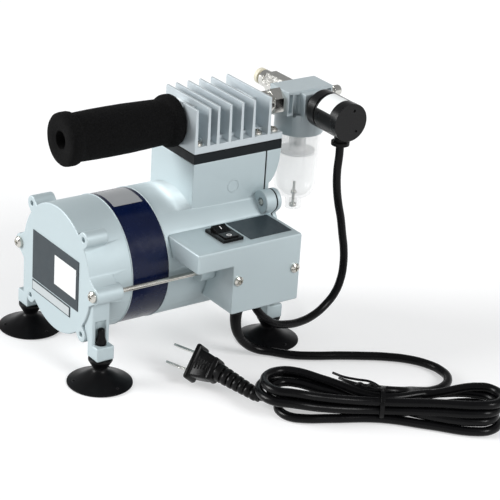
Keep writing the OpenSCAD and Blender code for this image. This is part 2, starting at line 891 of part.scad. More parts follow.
module filter_head() {
    color("silver") home() difference() {
        union() {
            block([filter_x0, -filter_half, filter_z0], [filter_x1, filter_half, filter_z1]);
            translate([filter_x, 0, collar_z0]) cylinder(r = collar_r, h = collar_h + 0.5);
            block(
                [filter_x - press_pad_half, press_pad_y, filter_z0],
                [filter_x + press_pad_half, 0, filter_z1 - 1.3]
            );
        }
        translate([filter_x, 0, collar_z0 - 1]) difference() {
            cylinder(r = neck_r + 0.2, h = neck_h + 2.8);
            cylinder(r = 4.5, h = neck_h + 4);
        }
        translate([filter_x, 0, collar_z0 - 1]) cylinder(r = 5, h = 6);
        translate([filter_x, 0, 0]) cylinder(r = 2.5, h = port_z);
        translate([0, 0, port_z]) {
            bar_x(thread_r, filter_x0 - 1, filter_x0 + 6.2);
            bar_x(3, filter_x0, filter_x1 - 4);
            bar_x(3.6, filter_x1 - 7, filter_x1 + 1);
            translate([filter_x, 0, 0]) bar_y(5, filter_half - 7, filter_half + 1);
            translate([filter_x, 0, 0]) bar_y(5, press_pad_y - 1, press_pad_y + 6);
            translate([filter_x, 0, 0]) bar_y(2.5, -filter_half, filter_half);
        }
        // Cast pockets on the front, the back and the top edge
        for (s = [0, 1]) mirror([0, s, 0]) {
            for (x = [filter_x0 + 1, filter_x1 - 4.5]) {
                block(
                    [x, -filter_half - 1, filter_z0 + 2.2],
                    [x + 3, -filter_half + 3.5, filter_z1 - 2.2]
                );
            }
            block(
                [filter_x0 + 5.4, -filter_half - 1, filter_z0 - 1],
                [filter_x - press_pad_half - 0.2, -filter_half + 3.2, filter_z1 - 2.8]
            );
        }
    }
}

module filter_element() {
    color("white") home() translate([filter_x, 0, collar_z0]) difference() {
        union() {
            translate([0, 0, -15]) cylinder(r = 6, h = 20);
            translate([0, 0, -16.5]) cylinder(r = 12.8, h = 1.5);
        }
        translate([0, 0, -13]) cylinder(r = 2.5, h = 19);
    }
}

module filter_bowl() {
    foot = bowl_z0;
    color("azure") home() translate([filter_x, 0, 0]) rotate_extrude() polygon([
        [1.1 + run_gap, foot + drain_travel + 3.5], [2.95, foot + drain_travel + 3.5],
        [2.95, foot], [6, foot], [6, foot + 7.5],
        [8.5, foot + 8.6], [12, foot + 11], [14.2, foot + 14.5], [bowl_r - 1.2, foot + 20],
        [bowl_r, collar_z0], [neck_r, collar_z0], [neck_r, collar_z0 + neck_h],
        [neck_r - bowl_wall + 0.4, collar_z0 + neck_h], [bowl_r - bowl_wall, collar_z0 - 4],
        [bowl_r - bowl_wall - 1.2, foot + 21], [12.2, foot + 15.5], [10, foot + 12.5],
        [7, foot + 10.8], [1.1 + run_gap, foot + 10]
    ]);
}

module bowl_ring() {
    color("black") home() translate([filter_x, 0, collar_z0 + neck_h + 0.9])
        rotate_extrude() translate([neck_r - 0.95, 0]) circle(r = 0.88);
}

module drain_pin() {
    color("silver") home() translate([filter_x, 0, bowl_z0]) {
        translate([0, 0, 0.4]) cylinder(r = 2.6, h = 2);
        translate([0, 0, 2.3]) cylinder(r = 1.1, h = 16.7);
        translate([0, 0, 10.3]) cylinder(r = 2.2, h = 1.6);
    }
}

module coupler_body() {
    end = filter_half + coupler_len - sleeve_ring - sleeve_travel - 0.5;
    color("silver") home() translate([filter_x, 0, port_z]) difference() {
        union() {
            bar_y(5 - seat_gap, filter_half - 6, filter_half + 1);
            hex_y(14, filter_half, filter_half + 25);
            bar_y(coupler_r - 0.9, filter_half + 24, end);
            bar_y(coupler_r, filter_half + 27, end);
        }
        bar_y(sleeve_r + run_gap, filter_half + 20, end + 1);
        bar_y(hose_r + 0.05, filter_half + 12, end);
        bar_y(2, filter_half - 7, end);
    }
}

module coupler_sleeve() {
    end = filter_half + coupler_len;
    color("ivory") home() translate([filter_x, 0, port_z]) difference() {
        union() {
            bar_y(sleeve_r, end - 14, end);
            bar_y(coupler_r - 0.4, end - sleeve_ring, end);
        }
        bar_y(hose_r + 0.05, end - 15, end + 1);
    }
}

module side_plug() {
    color("silver") home() translate([0, 0, port_z]) {
        bar_x(3.6 - seat_gap, filter_x1 - 4, filter_x1 + 1);
        hex_x(10, filter_x1, filter_x1 + 4);
        bar_x(3.2, filter_x1 + 3, filter_x1 + side_plug_len);
        bar_x(3.9, filter_x1 + side_plug_len - 6, filter_x1 + side_plug_len - 1);
    }
}

module pressure_switch() {
    color("black") home() translate([filter_x, 0, port_z]) {
        bar_y(5 - seat_gap, press_pad_y - 1, press_pad_y + 5);
        bar_y(press_neck_r, press_back - 1, press_pad_y);
        bar_y(press_r, press_groove, press_back);
        bar_y(press_r - 1, press_groove - 1.5, press_groove + 1);
        bar_y(press_r, press_y0 + press_cap_len, press_groove - 1.3);
    }
}

module pressure_switch_cap() {
    color("black") home() translate([filter_x, 0, port_z]) difference() {
        bar_y(press_r + 0.15, press_y0, press_y0 + press_cap_len);
        for (a = [-74, 54]) {
            rotate([0, a, 0]) translate([press_r - 4.8, 0, 0]) bar_y(1.1, press_y0 - 1, press_y0 + 1);
        }
    }
}

module pressure_switch_label() {
    y0 = press_y0 + press_cap_len + 2.5;
    y1 = press_groove - 2.8;
    color("white") home() translate([filter_x, 0, port_z]) intersection() {
        difference() {
            bar_y(press_r + 0.15, y0, y1);
            bar_y(press_r, y0 - 1, y1 + 1);
        }
        rotate([0, -28, 0]) block([-8.2, y0 - 1, 2], [8.2, y1 + 1, press_r + 4]);
    }
}

module switch_grommet() {
    color("black") home() difference() {
        translate([filter_x, grommet_y, grommet_z]) union() {
            cylinder(r = 6.4, h = 2.4);
            cylinder(r = 4.6, h = 9);
        }
        translate([filter_x, 0, port_z]) {
            bar_y(press_r, press_y0, 0);
            bar_y(press_r + 0.15, press_y0, press_y0 + press_cap_len);
        }
    }
}

// ---- feet ----

module suction_foot() {
    rotate_extrude() polygon([
        [0, 3.4], [9, 3], [16, 1.8], [cup_r - 1.2, 0], [cup_r, 0], [cup_r, 0.9], [17, 3.6],
        [12, 5.8], [8, 8], [5, 9.6], [4.4, 11], [8, 16.4], [8, 18.5], [stem_r, 18.5],
        [stem_r, 28.3], [3.7, 29], [3.7, 30.5], [2.3, 33], [2.2, 39], [0, 39.8]
    ]);
}

module suction_feet() {
    color("black") home() for (x = foot_x) {
        for (s = [-1, 1]) {
            translate([x, s * foot_y, -axis_h]) suction_foot();
        }
    }
}

// ---- cords and plug ----

function unit(v) = v / norm(v);

function heading(path, i) =
    unit(path[min(i + 1, len(path) - 1)] - path[max(i - 1, 0)]);

// One ring of points round a path, square to its heading
function ring(path, i, r, sides) =
    let (t = i == 0 ? unit(path[1] - path[0]) : heading(path, i))
    let (a = unit(cross(t, [0.35, 0.6, 0.72])))
    let (b = cross(t, a))
    [for (k = [0 : sides - 1])
        path[i] + r * (cos(360 * k / sides) * a + sin(360 * k / sides) * b)];

module cord_tube(path, r, sides = 10) {
    last = len(path) - 1;
    points = [for (i = [0 : last]) each ring(path, i, r, sides)];
    faces = concat(
        [[for (k = [0 : sides - 1]) k]],
        [for (i = [0 : last - 1]) for (k = [0 : sides - 1])
            let (a = i * sides + k, b = i * sides + (k + 1) % sides)
            each [[a, a + sides, b + sides], [a, b + sides, b]]],
        [[for (k = [sides - 1 : -1 : 0]) last * sides + k]]
    );
    polyhedron(points, faces);
}

module sensor_cord() {
    color("black") cord_tube(sensor_path, sensor_r);
}

module mains_cord() {
    color("black") cord_tube(mains_path, mains_r);
}

// Frame of the hank: X points along it, from the plug end to the far end
module at_hank(z) {
    translate([hank_at[0], hank_at[1], z]) rotate([0, 0, hank_turn]) children();
}

// Outer shape of the tied hank: two round ends and a narrow waist at the tie
module mains_hank() {
    color("black") at_hank(0) linear_extrude(hank_h) polygon(concat(
        [for (a = [90 : 15 : 270]) [-62 + 21 * cos(a), 21 * sin(a)]],
        [[0, -12]],
        [for (a = [-90 : 15 : 90]) [62.5 + 14.5 * cos(a), 14.5 * sin(a)]],
        [[0, 12]]
    ));
}

module hank_tie() {
    color("black") at_hank(hank_h) translate([-1.5, -12, 0]) cube([3, 24, 1.2]);
}

// Frame of the plug: X points from its face to the cord
module at_plug() {
    translate([plug_at[0], plug_at[1], plug_lift]) rotate([0, 0, plug_turn]) children();
}

// The plug lies over on one edge
module leaned() {
    rotate([-plug_lean, 0, 0]) children();
}

module plug_body() {
    half = plug_h / 2;
    color("black") at_plug() leaned() {
        translate([0, -plug_t / 2, -half]) cube([4, plug_t, plug_h]);
        plate_y(-plug_t / 2 + 1, plug_t / 2 - 1) polygon([
            [4, -half + 0.8], [4, half - 0.8], [plug_len, half - 6], [plug_len, 6 - half]
        ]);
    }
}

module plug_blades() {
    color("silver") at_plug() leaned() for (s = [-1, 1]) {
        translate([-blade_len, -3.1, s * blade_gap / 2 - 0.75]) cube([blade_len, 6.2, 1.5]);
    }
}

module plug_strain_relief() {
    color("black") at_plug() translate([plug_len, 0, 0]) rotate([0, 90 + relief_dip, 0])
        translate([0, 0, -0.6]) cylinder(r1 = 5, r2 = 4, h = relief_len);
}

end_bell();
stator_stack();
stator_band();
stator_windings();
rotor_core();
rotor_end_rings();
rotor_shaft();
bearing_outer_rings();
bearing_inner_rings();
bearing_balls();
crank_disc();
crank_pin();
rod_bearing();
piston_rod();
piston_seal();
seal_retainer();
crankcase();
cylinder_liner();
cover_gasket();
front_cover();
cover_screws();
valve_plate();
reed_valves();
head_gasket();
cylinder_head();
head_screws();
tie_rods();
handle_rod();
handle_grip();
switch_box();
box_screws();
switch_housing();
switch_rocker();
capacitor();
control_plate();
rating_plates();
band_label();
cord_glands();
outlet_nipple();
filter_head();
filter_element();
filter_bowl();
bowl_ring();
drain_pin();
coupler_body();
coupler_sleeve();
side_plug();
pressure_switch();
pressure_switch_cap();
pressure_switch_label();
switch_grommet();
suction_feet();
sensor_cord();
mains_cord();
mains_hank();
hank_tie();
plug_body();
plug_blades();
plug_strain_relief();
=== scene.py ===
import json
import math

import bmesh
import bpy
from mathutils import Matrix, Vector


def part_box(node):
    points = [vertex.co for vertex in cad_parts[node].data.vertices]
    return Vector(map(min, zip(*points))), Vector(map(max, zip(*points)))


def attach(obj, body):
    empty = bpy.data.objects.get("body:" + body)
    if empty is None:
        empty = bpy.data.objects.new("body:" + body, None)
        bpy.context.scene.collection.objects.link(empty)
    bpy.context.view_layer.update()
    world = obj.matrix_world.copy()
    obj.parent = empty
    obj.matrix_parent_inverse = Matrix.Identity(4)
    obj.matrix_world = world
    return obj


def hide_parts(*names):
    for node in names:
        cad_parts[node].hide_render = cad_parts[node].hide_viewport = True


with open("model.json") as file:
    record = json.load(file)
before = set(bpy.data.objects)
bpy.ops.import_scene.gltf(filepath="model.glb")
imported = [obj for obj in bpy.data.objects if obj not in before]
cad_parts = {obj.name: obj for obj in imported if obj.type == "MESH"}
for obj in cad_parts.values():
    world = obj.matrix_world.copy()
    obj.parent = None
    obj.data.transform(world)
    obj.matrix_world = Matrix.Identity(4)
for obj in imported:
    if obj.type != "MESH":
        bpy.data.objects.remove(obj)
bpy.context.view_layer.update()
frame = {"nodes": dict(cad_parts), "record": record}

nodes = frame["nodes"]

# Lengths below are in millimetres and angles in degrees, unless a comment says otherwise
MM = 0.001                          # in metres
SHARP = 40                          # an edge turned further than this stays an edge
BARREL_AXIS = (4, 65)               # Y and Z of the motor's axis
BELL_RIM, CASE_RIM = -74.3, -45.7   # X of the two edges of the navy film
FOOT_X, FOOT_Y = (-98.5, 37), (-43, 51)
PLATE_FACE = -106.88                # X of the rating plate's face


# ---- modelling helpers ----

def mm(x, y, z):
    """A place in millimetres, as metres"""
    return Vector((x * MM, y * MM, z * MM))


def moved(x, y, z):
    """A shift in millimetres, as a matrix"""
    return Matrix.Translation(mm(x, y, z))


def spun(degrees, axis):
    """A turn about an axis, as a matrix"""
    return Matrix.Rotation(math.radians(degrees), 4, axis)


def clear():
    """Back to object mode, with nothing selected"""
    if bpy.context.object and bpy.context.object.mode != "OBJECT":
        bpy.ops.object.mode_set(mode="OBJECT")
    bpy.ops.object.select_all(action="DESELECT")


def take(piece):
    """Only this piece is selected and active"""
    clear()
    piece.select_set(True)
    bpy.context.view_layer.objects.active = piece


def into_edit(piece):
    """Edit mode, with the whole mesh selected"""
    take(piece)
    bpy.ops.object.mode_set(mode="EDIT")
    bpy.ops.mesh.select_all(action="SELECT")


def settle(piece, place=None):
    """Puts the piece's place into its mesh, so that its object sits at the origin"""
    take(piece)
    if place is not None:
        piece.matrix_world = place
        bpy.context.view_layer.update()
    bpy.ops.object.transform_apply(location=True, rotation=True, scale=True)
    return piece


def face_out(piece):
    """All normals outward"""
    into_edit(piece)
    bpy.ops.mesh.normals_make_consistent(inside=False)
    bpy.ops.object.mode_set(mode="OBJECT")


def soften(piece, angle=SHARP):
    """Smooth shading, apart from edges sharper than the angle"""
    take(piece)
    bpy.ops.object.shade_smooth_by_angle(angle=math.radians(angle))


def round_edges(piece, width, segments=2, angle=35):
    """Rounds every edge sharper than the angle"""
    take(piece)
    bevel = piece.modifiers.new("round", "BEVEL")
    bevel.width = width * MM
    bevel.segments = segments
    bevel.limit_method = "ANGLE"
    bevel.angle_limit = math.radians(angle)
    bpy.ops.object.modifier_apply(modifier=bevel.name)


def turned(name, sides, rings, place, closed=False):
    """A turned piece: its rings are (radius, height) pairs along its own Z axis"""
    clear()
    radius, height = rings[0]
    bpy.ops.mesh.primitive_circle_add(
        vertices=sides, radius=radius * MM, location=(0, 0, height * MM),
        fill_type="NOTHING" if closed else "NGON")
    piece = settle(bpy.context.object)
    piece.name = name
    into_edit(piece)
    for (r_from, h_from), (r_to, h_to) in zip(rings, rings[1:]):
        bpy.ops.mesh.extrude_region_move(
            TRANSFORM_OT_translate={"value": (0, 0, (h_to - h_from) * MM)})
        bpy.ops.transform.resize(
            value=(r_to / r_from, r_to / r_from, 1), center_override=(0, 0, h_to * MM))
    if closed:
        bpy.ops.mesh.select_all(action="SELECT")
        bpy.ops.mesh.remove_doubles(threshold=1e-6)
    bpy.ops.object.mode_set(mode="OBJECT")
    face_out(piece)
    return settle(piece, place)


def drawn(name, size, steps, place):
    """A rectangle drawn out along its own Z axis: steps are (rise, scale in X, scale in Y)"""
    clear()
    bpy.ops.mesh.primitive_plane_add(size=MM)
    piece = bpy.context.object
    piece.name = name
    piece.scale = (size[0], size[1], 1)
    settle(piece)
    into_edit(piece)
    height = 0
    for rise, wide, deep in steps:
        bpy.ops.mesh.extrude_region_move(TRANSFORM_OT_translate={"value": (0, 0, rise * MM)})
        height += rise
        bpy.ops.transform.resize(value=(wide, deep, 1), center_override=(0, 0, height * MM))
    bpy.ops.object.mode_set(mode="OBJECT")
    face_out(piece)
    return settle(piece, place)


def thin_plate(name, low, high, rim):
    """A thin plate or film between two corners, with its edges rounded"""
    clear()
    middle = mm(*[(a + b) / 2 for a, b in zip(low, high)])
    bpy.ops.mesh.primitive_cube_add(size=1, location=middle)
    piece = bpy.context.object
    piece.name = name
    piece.scale = mm(*[b - a for a, b in zip(low, high)])
    settle(piece)
    round_edges(piece, rim, 3)
    return piece


def as_mesh(curve):
    """The mesh that a curve draws"""
    take(curve)
    bpy.ops.object.convert(target="MESH")
    return bpy.context.object


def joined(name, parts):
    """One piece made of several"""
    take(parts[0])
    for part in parts[1:]:
        part.select_set(True)
    bpy.ops.object.join()
    bpy.context.object.name = name
    return bpy.context.object


def give(piece, paint, body="root", covers=()):
    """Finish, material slot and body of a piece, and the nodes that it stands for"""
    piece.data.materials.clear()
    piece.data.materials.append(paint)
    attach(piece, body)
    if covers:
        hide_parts(*covers)
    return piece


# ---- camera ----

def set_camera(azimuth, elevation, roll, lens, distance, target):
    """A camera round a target point; the distance is in metres"""
    azimuth, elevation, roll = (math.radians(a) for a in (azimuth, elevation, roll))
    back = Vector((math.sin(azimuth) * math.cos(elevation),
                   -math.cos(azimuth) * math.cos(elevation), math.sin(elevation)))
    side = Vector((math.cos(azimuth), math.sin(azimuth), 0))
    up = back.cross(side)
    right = math.cos(roll) * side + math.sin(roll) * up
    top = math.cos(roll) * up - math.sin(roll) * side
    data = bpy.data.cameras.new("camera")
    data.sensor_width = 36
    data.lens = lens
    data.clip_end = 20
    camera = bpy.data.objects.new("camera", data)
    bpy.context.scene.collection.objects.link(camera)
    turn = Matrix((right, top, back)).transposed().to_4x4()
    camera.matrix_world = Matrix.Translation(mm(*target) + distance * back) @ turn
    bpy.context.scene.camera = camera


set_camera(azimuth=-36.36, elevation=24.11, roll=3.82, lens=141.9, distance=1.4,
           target=(52, 4, 45.7))


# ---- finishes ----

def link(tree, start, end):
    tree.links.new(start, end)


def noise(tree, where, size, detail=3.0, rough=0.5, stretch=None):
    """Noise over the object's own coordinates"""
    node = tree.nodes.new("ShaderNodeTexNoise")
    node.inputs["Scale"].default_value = size
    node.inputs["Detail"].default_value = detail
    node.inputs["Roughness"].default_value = rough
    source = where.outputs["Object"]
    if stretch:
        turn = tree.nodes.new("ShaderNodeMapping")
        turn.inputs["Scale"].default_value = stretch
        link(tree, source, turn.inputs["Vector"])
        source = turn.outputs["Vector"]
    link(tree, source, node.inputs["Vector"])
    return node.outputs["Fac"]


def ranged(tree, value, low, high, start=0.3, end=0.7):
    """Turns a value from start to end into one from low to high"""
    node = tree.nodes.new("ShaderNodeMapRange")
    node.inputs["From Min"].default_value = start
    node.inputs["From Max"].default_value = end
    node.inputs["To Min"].default_value = low
    node.inputs["To Max"].default_value = high
    link(tree, value, node.inputs["Value"])
    return node.outputs["Result"]


def maths(tree, operation, first, second):
    """One sum of two values"""
    node = tree.nodes.new("ShaderNodeMath")
    node.operation = operation
    link(tree, first, node.inputs[0])
    link(tree, second, node.inputs[1])
    return node.outputs[0]


def blended(tree, factor, first, second):
    """A mix of two colours, each a tuple or a socket"""
    node = tree.nodes.new("ShaderNodeMix")
    node.data_type = "RGBA"
    link(tree, factor, node.inputs["Factor"])
    first_colour, second_colour, result = node.inputs[6], node.inputs[7], node.outputs[2]
    for socket, colour in ((first_colour, first), (second_colour, second)):
        if isinstance(colour, tuple):
            socket.default_value = (*colour, 1)
        else:
            link(tree, colour, socket)
    return result


def finish(name, colour, roughness, metal=0.0, mottle=0.05, cloud=60, swing=0.06, grain=0.1,
           grain_size=1500, grain_depth=0.05, edge_wear_and_sheen=None, coat=0.0, stretch=None, corner=0.5,
           shine=0.5, index=1.5):
    """A finish: clouded colour, uneven gloss and a fine grain, with lighter edges where given,
    partly wear and partly a painted highlight

    mottle: how far the colour swings; swing: how far the roughness swings; cloud and
    grain_size: scales of the two noises; stretch: their scale in X, Y and Z; grain and
    grain_depth: strength and depth of the bump; corner: radius of the shaded edges;
    edge_wear_and_sheen: colour at those edges, partly wear and partly a painted highlight; shine
    and index: level and refractive index of the gloss.
    """
    made = bpy.data.materials.new(name)
    made.use_nodes = True
    tree = made.node_tree
    shader = tree.nodes["Principled BSDF"]
    where = tree.nodes.new("ShaderNodeTexCoord")
    dark = tuple(c * (1 - mottle) for c in colour)
    light = tuple(min(1, c * (1 + mottle)) for c in colour)
    clouds = noise(tree, where, cloud, 4.0, 0.6, stretch)
    shade = blended(tree, ranged(tree, clouds, 0, 1), dark, light)
    soft = tree.nodes.new("ShaderNodeBevel")
    soft.samples = 4
    soft.inputs["Radius"].default_value = corner * MM
    # Edges are painted lighter, in patches: partly wear, partly a painted highlight along each edge
    if edge_wear_and_sheen:
        edge_from, edge_to = 0.88, 0.985    # the rounded normal against the flat one, at an edge
        flat = tree.nodes.new("ShaderNodeNewGeometry").outputs["Normal"]
        turn = tree.nodes.new("ShaderNodeVectorMath")
        turn.operation = "DOT_PRODUCT"
        link(tree, soft.outputs["Normal"], turn.inputs[0])
        link(tree, flat, turn.inputs[1])
        edge = ranged(tree, turn.outputs["Value"], 1, 0, edge_from, edge_to)
        uneven = ranged(tree, noise(tree, where, 260), 0.25, 1, 0.4, 0.6)
        shade = blended(tree, maths(tree, "MULTIPLY", edge, uneven), shade, edge_wear_and_sheen)
    link(tree, shade, shader.inputs["Base Color"])
    gloss = noise(tree, where, cloud * 2.3, 5.0, 0.6, stretch)
    rough = ranged(tree, gloss, roughness - swing, roughness + swing)
    link(tree, rough, shader.inputs["Roughness"])
    shader.inputs["Metallic"].default_value = metal
    shader.inputs["Coat Weight"].default_value = coat
    shader.inputs["Coat Roughness"].default_value = 0.06
    shader.inputs["Specular IOR Level"].default_value = shine
    shader.inputs["IOR"].default_value = index
    bump = tree.nodes.new("ShaderNodeBump")
    bump.inputs["Strength"].default_value = grain
    bump.inputs["Distance"].default_value = grain_depth * MM
    link(tree, noise(tree, where, grain_size, 3.0, 0.6, stretch), bump.inputs["Height"])
    link(tree, soft.outputs["Normal"], bump.inputs["Normal"])
    link(tree, bump.outputs["Normal"], shader.inputs["Normal"])
    return made


def band_paint():
    """Navy film with fine flakes, painted lighter as their glint, under a thin clear coat"""
    made = finish("navy_film", (0.002, 0.006, 0.032), 0.26, mottle=0.15, coat=0.08, grain=0.03,
                  corner=0.1, index=1.3)
    tree = made.node_tree
    shader = tree.nodes["Principled BSDF"]
    where = next(n for n in tree.nodes if n.type == "TEX_COORD")
    # The film's fine flakes, painted as lighter blue dots: a painted glint
    flakes = tree.nodes.new("ShaderNodeTexVoronoi")
    flakes.inputs["Scale"].default_value = 2600
    link(tree, where.outputs["Object"], flakes.inputs["Vector"])
    below = shader.inputs["Base Color"].links[0].from_socket
    flake_glint = ranged(tree, flakes.outputs["Color"], 0, 0.4, 0.85, 1.0)
    link(tree, blended(tree, flake_glint, below, (0.02, 0.035, 0.12)), shader.inputs["Base Color"])
    return made


def see_through(name, colour, roughness, alpha, **look):
    """Plastic that lets part of the light straight through"""
    made = finish(name, colour, roughness, mottle=0.01, **look)
    made.node_tree.nodes["Principled BSDF"].inputs["Alpha"].default_value = alpha
    return made


# Each lighter edge colour given below is partly wear and partly a painted highlight along the edges
SILVER, SILVER_WEAR_AND_SHEEN = (0.49, 0.575, 0.60), (0.66, 0.73, 0.75)
CAST = finish("cast_paint", SILVER, 0.53, metal=0.3, mottle=0.012, cloud=30, grain=0.16,
              grain_size=1300, grain_depth=0.04, edge_wear_and_sheen=SILVER_WEAR_AND_SHEEN, corner=0.8, shine=0.4)
BOX_PAINT = finish("box_paint", SILVER, 0.40, metal=0.3, mottle=0.012, cloud=30, grain=0.2,
                   grain_size=1400, grain_depth=0.04, edge_wear_and_sheen=SILVER_WEAR_AND_SHEEN, coat=0.08, corner=0.8)
BAND = band_paint()
FOAM = finish("foam_skin", (0.0036, 0.0036, 0.0038), 0.95, mottle=0.98, cloud=1100, swing=0.04,
              grain=1.0, grain_size=1150, grain_depth=0.7, shine=0.12, corner=0.3)
# The fins' near-white edge colour is mostly a painted highlight along their top edges, partly wear
FIN_METAL = finish("fin_metal", (0.56, 0.62, 0.65), 0.36, metal=0.35, mottle=0.03, cloud=50,
                   grain=0.2, grain_size=900, grain_depth=0.05, edge_wear_and_sheen=(0.86, 0.91, 0.93), corner=0.3)
STEEL = finish("ground_steel", (0.55, 0.55, 0.545), 0.25, metal=1.0, mottle=0.03, cloud=90,
               grain=0.02)
LAMINATE = finish("stator_laminate", (0.30, 0.31, 0.33), 0.4, metal=0.9, mottle=0.1, grain=0.5,
                  grain_size=600, stretch=(8, 0.2, 0.2))
COPPER = finish("enamelled_copper", (0.62, 0.27, 0.12), 0.3, metal=0.9, mottle=0.15, coat=0.4)
SCREW = finish("nickel_screw", (0.60, 0.585, 0.54), 0.2, metal=1.0, mottle=0.1, cloud=300,
               edge_wear_and_sheen=(0.92, 0.90, 0.84), corner=0.25)
CHROME = finish("nickel_fitting", (0.66, 0.655, 0.62), 0.14, metal=1.0, mottle=0.06, cloud=150,
                edge_wear_and_sheen=(0.92, 0.91, 0.88), corner=0.3)
DARK_PLATE = finish("valve_plate_paint", (0.006, 0.009, 0.011), 0.45, mottle=0.1, grain=0.2,
                    edge_wear_and_sheen=(0.03, 0.04, 0.045), corner=0.2, index=1.25)
FILTER = finish("filter_paint", (0.45, 0.515, 0.54), 0.34, metal=0.12, mottle=0.03, grain=0.16,
                grain_size=1100, edge_wear_and_sheen=(0.70, 0.76, 0.78), corner=0.5)
CLEAR = see_through("clear_plastic", (0.95, 0.97, 0.97), 0.1, alpha=0.17, swing=0.03, grain=0.05,
                    coat=0.6, shine=0.8)
WHITE = see_through("milky_plastic", (0.95, 0.96, 0.955), 0.35, alpha=0.42, grain=0.1)
IVORY = finish("ivory_plastic", (0.72, 0.68, 0.54), 0.42, mottle=0.03)
BLACK = finish("black_plastic", (0.0028, 0.0028, 0.003), 0.26, mottle=0.15, grain=0.1,
               edge_wear_and_sheen=(0.008, 0.008, 0.0085), index=1.26)
SWITCH = finish("switch_shell", (0.003, 0.003, 0.0034), 0.3, mottle=0.1, grain=0.1,
                grain_size=1200, edge_wear_and_sheen=(0.012, 0.012, 0.013), index=1.33, corner=0.4)
RUBBER = finish("black_rubber", (0.0025, 0.0025, 0.003), 0.36, mottle=0.2, cloud=90,
                grain=0.12, edge_wear_and_sheen=(0.006, 0.006, 0.0065), index=1.24)
JACKET = finish("cord_jacket", (0.0022, 0.0022, 0.0026), 0.26, mottle=0.15, cloud=120, swing=0.05,
                grain=0.08, grain_size=600, index=1.24)
PLATE = finish("bare_plate", (0.022, 0.034, 0.042), 0.36, grain=0.08,
               edge_wear_and_sheen=(0.08, 0.09, 0.10), corner=0.15, shine=0.3)
LABEL = finish("bare_label", (0.80, 0.82, 0.82), 0.45, mottle=0.012, grain=0.08, corner=0.1)
GREY_LABEL = finish("grey_label", (0.50, 0.54, 0.55), 0.45, mottle=0.02, grain=0.08, corner=0.1)
BAND_LABEL = finish("band_sticker", (0.30, 0.31, 0.32), 0.35, mottle=0.02, grain=0.05, corner=0.1)
SEAL = finish("ptfe_seal", (0.84, 0.84, 0.80), 0.5, mottle=0.04)
MARK = finish("white_mark", (0.85, 0.85, 0.85), 0.5, mottle=0.02, corner=0.1)

FINISH_OF_SLOT = {
    "painted_casting": CAST, "navy_band": BAND, "stator_steel": LAMINATE, "copper": COPPER,
    "bright_steel": STEEL, "zinc_screw": SCREW, "plated_brass": CHROME,
    "cast_aluminium": FIN_METAL, "black_plate": DARK_PLATE, "filter_paint": FILTER,
    "clear_bowl": CLEAR, "white_plastic": WHITE, "ivory_plastic": IVORY, "black_plastic": BLACK,
    "black_rubber": RUBBER, "foam": FOAM, "cord_jacket": JACKET, "plate_grey": PLATE,
    "label_white": LABEL, "seal_white": SEAL,
}
for sub in frame["record"]["subparts"]:
    for place in nodes[sub["node"]].material_slots:
        place.material = FINISH_OF_SLOT[sub["material_slot"]]
for name, paint in (("switch_box", BOX_PAINT), ("band_label", BAND_LABEL),
                    ("pressure_switch", SWITCH), ("pressure_switch_cap", SWITCH)):
    nodes[name].material_slots[0].material = paint


# ---- cords ----

def cord_curve(name, points, radius):
    """A smooth round cord through its points"""
    data = bpy.data.curves.new(name, "CURVE")
    data.dimensions = "3D"
    data.bevel_depth = radius * MM
    data.bevel_resolution = 5
    data.resolution_u = 6
    data.use_fill_caps = True
    line = data.splines.new("BEZIER")
    line.bezier_points.add(len(points) - 1)
    for knot, point in zip(line.bezier_points, points):
        knot.co = mm(*point)
        knot.handle_left_type = knot.handle_right_type = "AUTO"
    piece = bpy.data.objects.new(name, data)
    bpy.context.scene.collection.objects.link(piece)
    return piece


HANK_CENTRE = (36.5, -172)
HANK_TURN = -37
HANK = Matrix.Translation((*HANK_CENTRE, 0)) @ spun(HANK_TURN, "Z")
# Layers of strands in the hank, and the cord's height where it lies on the floor
LOW, MIDDLE, HIGH = 3.2, 9.2, 15.2
ON_FLOOR = 3.5
# By side of the hank: how far along and how wide a loop starts, and the angles of its arc
LOOP_ENDS = {
    -1: (0.62, 0.80, (80, 115, 150, 180, 210, 245, 280)),
    1: (0.5, 0.72, (-85, -50, -15, 15, 50, 85)),
}
# Each strand crosses the waist at (across, height), then goes round one end of the hank:
# side, reach, half width, height, and the heights that it comes from and goes to
STRANDS = (
    (5.4, HIGH + 2.6, (-1, 80, 18, 15.6, HIGH, MIDDLE)),
    (-6.2, MIDDLE, (1, 75, 13.5, 15.6, MIDDLE, HIGH)),
    (0.3, HIGH, (-1, 77, 15.5, 21.8, HIGH, HIGH)),
    (-6.0, HIGH, (1, 76.5, 12.5, 21.6, HIGH, MIDDLE)),
    (6.2, MIDDLE + 1, (-1, 72.5, 11.8, 15.4, MIDDLE, MIDDLE)),
    (0, MIDDLE, (1, 73.5, 13, 9.4, MIDDLE, LOW)),
    (6.2, LOW + 0.4, (-1, 67, 14, LOW, LOW, LOW)),
    (-6.2, LOW, (1, 76, 14.5, LOW, LOW, LOW)),
)


def in_hank(x, y, z):
    """A point of the hank, from its own frame to the part's, in millimetres"""
    return tuple(HANK @ Vector((x, y, z)))


def loop(side, reach, half, height, start, end):
    """The way round one end of the hank"""
    along, across, angles = LOOP_ENDS[side]
    middle = side * (reach - half)
    made = [in_hank(middle * along, -side * half * across, (start + height) / 2)]
    for angle in angles:
        turn = math.radians(angle)
        made.append(in_hank(middle + half * math.cos(turn), half * math.sin(turn), height))
    made.append(in_hank(middle * along, side * half * across, (end + height) / 2))
    return made


